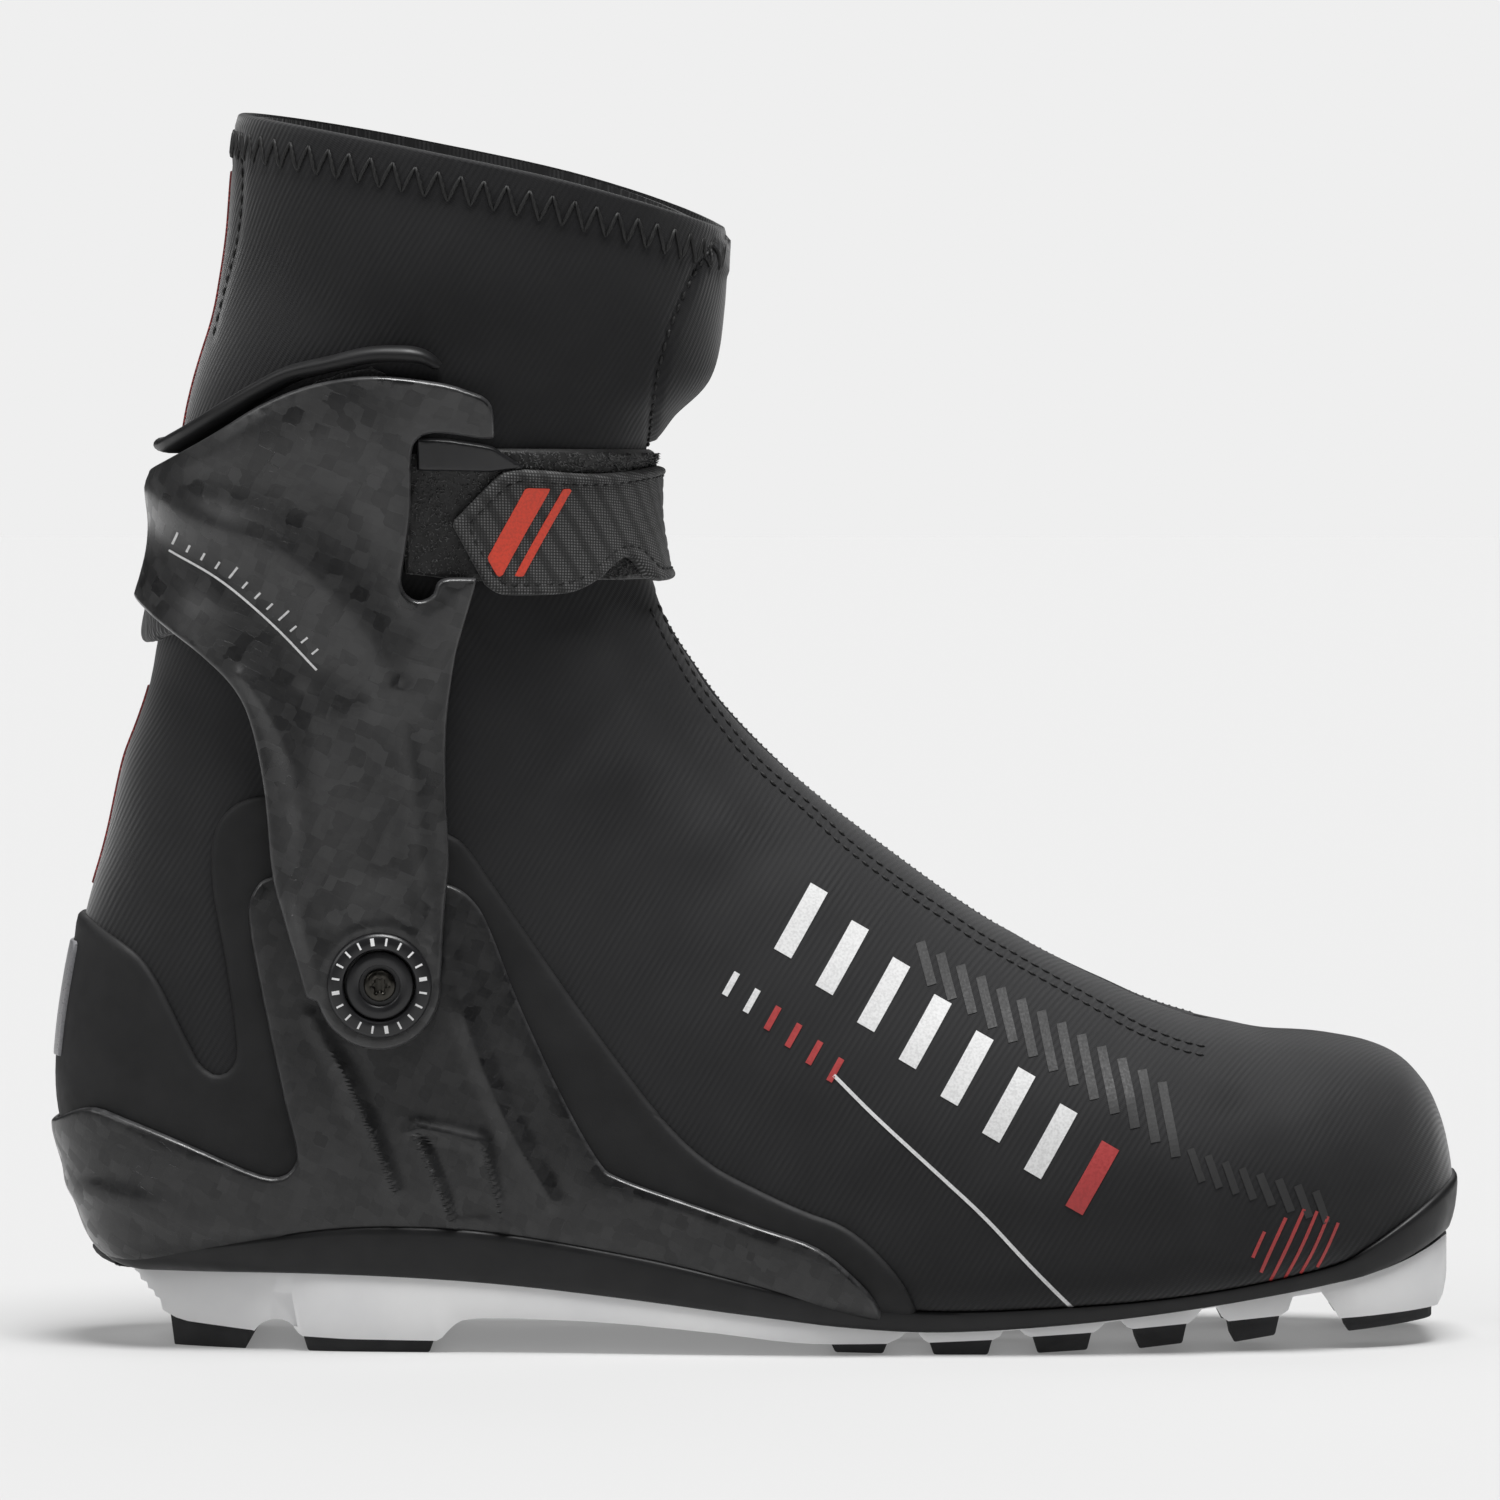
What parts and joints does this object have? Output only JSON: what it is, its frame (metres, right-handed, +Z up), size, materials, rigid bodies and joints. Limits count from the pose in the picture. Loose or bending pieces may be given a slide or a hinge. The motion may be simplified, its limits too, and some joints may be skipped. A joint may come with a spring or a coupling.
{
  "type": "cross country ski boot",
  "caption": "Right cross country skate boot with hinged carbon ankle cuff, hook-and-loop strap, zipped softshell upper and grooved binding sole.",
  "frame": {"origin": "middle of the boot's box, at floor level", "axes": "+X from heel to toe, +Y to the inner (medial) side, +Z up"},
  "size_m": [0.296, 0.0962, 0.2564],
  "materials": {
    "softshell": "matte twill softshell",
    "knit_lining": "brushed knit",
    "carbon": "satin woven carbon laminate",
    "black_tpu": "satin moulded elastomer",
    "white_tpu": "satin moulded elastomer",
    "tread_rubber": "matte rubber",
    "pivot_plastic": "semi-gloss moulded",
    "pivot_steel": "dark zinc-plated",
    "bar_steel": "polished",
    "cuff_rubber": "matte rubber",
    "cuff_foam": "matte knit over foam",
    "loop_pile": "brushed loop pile",
    "strap_webbing": "woven, stitched edge",
    "red_tape": "woven tape",
    "reflective": "reflective film",
    "stiffener_board": "fibre board",
    "zip_plastic": "matte coil zip",
    "zip_metal": "black enamel",
    "zip_pull_rubber": "matte rubber"
  },
  "bodies": {
    "boot": {"sole_rand": "black_tpu", "outsole": "white_tpu", "heel_tread_rear": "tread_rubber", "heel_tread_front": "tread_rubber", "tread_1_lateral": "tread_rubber", "tread_1_medial": "tread_rubber", "tread_2_lateral": "tread_rubber", "tread_2_medial": "tread_rubber", "tread_3_lateral": "tread_rubber", "tread_3_medial": "tread_rubber", "tread_4_lateral": "tread_rubber", "tread_4_medial": "tread_rubber", "tread_5_lateral": "tread_rubber", "tread_5_medial": "tread_rubber", "toe_tread_lateral": "tread_rubber", "toe_tread_medial": "tread_rubber", "toe_bar": "bar_steel", "upper_shell": "softshell", "upper_lining": "knit_lining", "toe_box": "stiffener_board", "heel_counter": "stiffener_board", "lasting_board": "stiffener_board", "footbed": "knit_lining", "tongue": "softshell", "zip_lower": "zip_plastic", "heel_overlay": "black_tpu", "heel_chassis": "carbon", "heel_reflector": "reflective", "pivot_bushing_lateral": "pivot_plastic", "pivot_nut_lateral": "pivot_steel", "pivot_screw_lateral": "pivot_steel", "pivot_bushing_medial": "pivot_plastic", "pivot_nut_medial": "pivot_steel", "pivot_screw_medial": "pivot_steel", "heel_tape": "red_tape"},
    "cuff_assembly": {"cuff": "carbon", "cuff_lip": "cuff_rubber", "cuff_foam": "cuff_foam", "pivot_cap_lateral": "pivot_plastic", "pivot_cap_medial": "pivot_plastic", "collar": "softshell", "collar_lining": "knit_lining", "zip_upper": "zip_plastic", "back_tape": "red_tape", "loop_strap": "loop_pile", "strap_anchor": "strap_webbing", "strap_rivet": "pivot_steel", "strap_guide": "pivot_plastic"},
    "strap": {"hook_strap": "strap_webbing", "hook_patch": "zip_plastic"},
    "slider": {"zip_slider": "zip_metal"},
    "pull": {"zip_pull": "zip_pull_rubber"}
  },
  "joints": [
    {"name": "cuff_flex", "type": "hinge", "parent": "boot", "child": "cuff_assembly", "pos_m": [-0.0783, 0.0002, 0.0766], "axis": [0, 1, 0], "range_deg": [0, 20], "stiffness_Nm_per_rad": 3},
    {"name": "strap_open", "type": "hinge", "parent": "cuff_assembly", "child": "strap", "pos_m": [-0.058, 0.0418, 0.172], "axis": [0, 0, 1], "range_deg": [0, 100]},
    {"name": "zip_slide", "type": "slide", "parent": "cuff_assembly", "child": "slider", "axis": [-0.1168, 0, -0.9932], "range_m": [0, 0.022]},
    {"name": "zip_pull_swing", "type": "hinge", "parent": "slider", "child": "pull", "pos_m": [-0.00924, 0.0002, 0.22472], "axis": [0, 1, 0], "range_deg": [-150, 5]}
  ]
}
